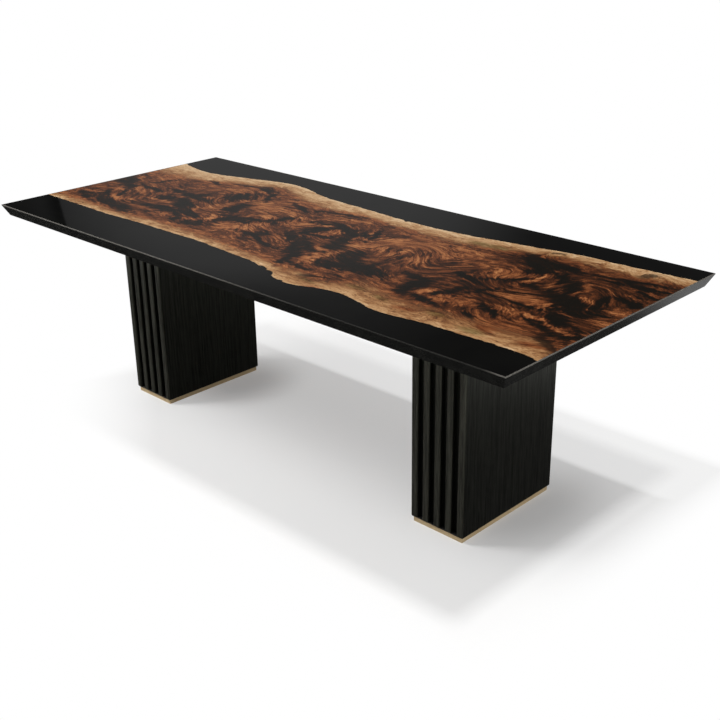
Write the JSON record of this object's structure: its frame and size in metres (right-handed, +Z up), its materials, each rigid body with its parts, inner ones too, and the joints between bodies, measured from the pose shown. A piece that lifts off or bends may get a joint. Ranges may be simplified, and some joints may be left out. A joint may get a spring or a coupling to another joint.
{
  "type": "resin dining table",
  "caption": "Long dining table: live-edge walnut slab between black resin borders, undercut black edge, on broad black pedestals with fluted ends and low brass plinths.",
  "frame": {"origin": "on the floor under the middle of the top", "axes": "+X along the length of the top, +Y across it towards the back edge, +Z up"},
  "size_m": [2.4, 1.05, 0.77],
  "materials": {
    "walnut": "burr-figured walnut with pale sapwood, clear satin coat",
    "black_resin": "opaque black casting resin, polished to satin",
    "black_edge": "satin black",
    "black_wood": "black stained oak veneer, upright grain, matt",
    "black_board": "black stained board, matt",
    "plywood": "bare birch plywood",
    "plinth_brass": "brushed pale brass",
    "black_steel": "black powder coat",
    "zinc_steel": "bright zinc plate",
    "insert_brass": "plain",
    "foot_nylon": "moulded black nylon"
  },
  "bodies": {
    "table": {"walnut_slab": "walnut", "front_resin": "black_resin", "back_resin": "black_resin", "stiffener_bolts": "zinc_steel", "stiffener_inserts": "insert_brass", "top_bolts": "zinc_steel", "top_inserts": "insert_brass", "base_screws": "zinc_steel", "plinth_screws": "zinc_steel", "leveller_nuts": "zinc_steel", "front_edge_strip": "black_edge", "back_edge_strip": "black_edge", "left_edge_strip": "black_edge", "right_edge_strip": "black_edge", "left_stiffener": "black_steel", "middle_stiffener": "black_steel", "right_stiffener": "black_steel", "left_outer_panel": "black_wood", "left_inner_panel": "black_wood", "left_front_backing": "black_board", "left_front_slat_1": "black_wood", "left_front_slat_2": "black_wood", "left_front_slat_3": "black_wood", "left_back_backing": "black_board", "left_back_slat_1": "black_wood", "left_back_slat_2": "black_wood", "left_back_slat_3": "black_wood", "left_top_board": "plywood", "left_base_plate": "black_steel", "left_plinth": "plinth_brass", "right_outer_panel": "black_wood", "right_inner_panel": "black_wood", "right_front_backing": "black_board", "right_front_slat_1": "black_wood", "right_front_slat_2": "black_wood", "right_front_slat_3": "black_wood", "right_back_backing": "black_board", "right_back_slat_1": "black_wood", "right_back_slat_2": "black_wood", "right_back_slat_3": "black_wood", "right_top_board": "plywood", "right_base_plate": "black_steel", "right_plinth": "plinth_brass"},
    "left_foot_1": {"left_foot_pad_1": "foot_nylon"},
    "left_stem_1": {"left_foot_stem_1": "zinc_steel"},
    "left_foot_2": {"left_foot_pad_2": "foot_nylon"},
    "left_stem_2": {"left_foot_stem_2": "zinc_steel"},
    "left_foot_3": {"left_foot_pad_3": "foot_nylon"},
    "left_stem_3": {"left_foot_stem_3": "zinc_steel"},
    "left_foot_4": {"left_foot_pad_4": "foot_nylon"},
    "left_stem_4": {"left_foot_stem_4": "zinc_steel"},
    "right_foot_1": {"right_foot_pad_1": "foot_nylon"},
    "right_stem_1": {"right_foot_stem_1": "zinc_steel"},
    "right_foot_2": {"right_foot_pad_2": "foot_nylon"},
    "right_stem_2": {"right_foot_stem_2": "zinc_steel"},
    "right_foot_3": {"right_foot_pad_3": "foot_nylon"},
    "right_stem_3": {"right_foot_stem_3": "zinc_steel"},
    "right_foot_4": {"right_foot_pad_4": "foot_nylon"},
    "right_stem_4": {"right_foot_stem_4": "zinc_steel"}
  },
  "joints": [
    {"name": "left_foot_travel_1", "type": "slide", "parent": "table", "child": "left_foot_1", "axis": [0, 0, -1], "range_m": [0, 0.01]},
    {"name": "left_stem_turn_1", "type": "hinge", "parent": "left_foot_1", "child": "left_stem_1", "pos_m": [-0.79, -0.175, 0], "axis": [0, 0, -1], "range_deg": [0, 2405]},
    {"name": "left_foot_travel_2", "type": "slide", "parent": "table", "child": "left_foot_2", "axis": [0, 0, -1], "range_m": [0, 0.01]},
    {"name": "left_stem_turn_2", "type": "hinge", "parent": "left_foot_2", "child": "left_stem_2", "pos_m": [-0.79, 0.175, 0], "axis": [0, 0, -1], "range_deg": [0, 2405]},
    {"name": "left_foot_travel_3", "type": "slide", "parent": "table", "child": "left_foot_3", "axis": [0, 0, -1], "range_m": [0, 0.01]},
    {"name": "left_stem_turn_3", "type": "hinge", "parent": "left_foot_3", "child": "left_stem_3", "pos_m": [-0.69, -0.175, 0], "axis": [0, 0, -1], "range_deg": [0, 2405]},
    {"name": "left_foot_travel_4", "type": "slide", "parent": "table", "child": "left_foot_4", "axis": [0, 0, -1], "range_m": [0, 0.01]},
    {"name": "left_stem_turn_4", "type": "hinge", "parent": "left_foot_4", "child": "left_stem_4", "pos_m": [-0.69, 0.175, 0], "axis": [0, 0, -1], "range_deg": [0, 2405]},
    {"name": "right_foot_travel_1", "type": "slide", "parent": "table", "child": "right_foot_1", "axis": [0, 0, -1], "range_m": [0, 0.01]},
    {"name": "right_stem_turn_1", "type": "hinge", "parent": "right_foot_1", "child": "right_stem_1", "pos_m": [0.69, -0.175, 0], "axis": [0, 0, -1], "range_deg": [0, 2405]},
    {"name": "right_foot_travel_2", "type": "slide", "parent": "table", "child": "right_foot_2", "axis": [0, 0, -1], "range_m": [0, 0.01]},
    {"name": "right_stem_turn_2", "type": "hinge", "parent": "right_foot_2", "child": "right_stem_2", "pos_m": [0.69, 0.175, 0], "axis": [0, 0, -1], "range_deg": [0, 2405]},
    {"name": "right_foot_travel_3", "type": "slide", "parent": "table", "child": "right_foot_3", "axis": [0, 0, -1], "range_m": [0, 0.01]},
    {"name": "right_stem_turn_3", "type": "hinge", "parent": "right_foot_3", "child": "right_stem_3", "pos_m": [0.79, -0.175, 0], "axis": [0, 0, -1], "range_deg": [0, 2405]},
    {"name": "right_foot_travel_4", "type": "slide", "parent": "table", "child": "right_foot_4", "axis": [0, 0, -1], "range_m": [0, 0.01]},
    {"name": "right_stem_turn_4", "type": "hinge", "parent": "right_foot_4", "child": "right_stem_4", "pos_m": [0.79, 0.175, 0], "axis": [0, 0, -1], "range_deg": [0, 2405]}
  ],
  "couplings": [
    {"joint": "left_stem_turn_1", "follows": "left_foot_travel_1", "rad_per_m": 4188.8},
    {"joint": "left_stem_turn_2", "follows": "left_foot_travel_2", "rad_per_m": 4188.8},
    {"joint": "left_stem_turn_3", "follows": "left_foot_travel_3", "rad_per_m": 4188.8},
    {"joint": "left_stem_turn_4", "follows": "left_foot_travel_4", "rad_per_m": 4188.8},
    {"joint": "right_stem_turn_1", "follows": "right_foot_travel_1", "rad_per_m": 4188.8},
    {"joint": "right_stem_turn_2", "follows": "right_foot_travel_2", "rad_per_m": 4188.8},
    {"joint": "right_stem_turn_3", "follows": "right_foot_travel_3", "rad_per_m": 4188.8},
    {"joint": "right_stem_turn_4", "follows": "right_foot_travel_4", "rad_per_m": 4188.8}
  ]
}
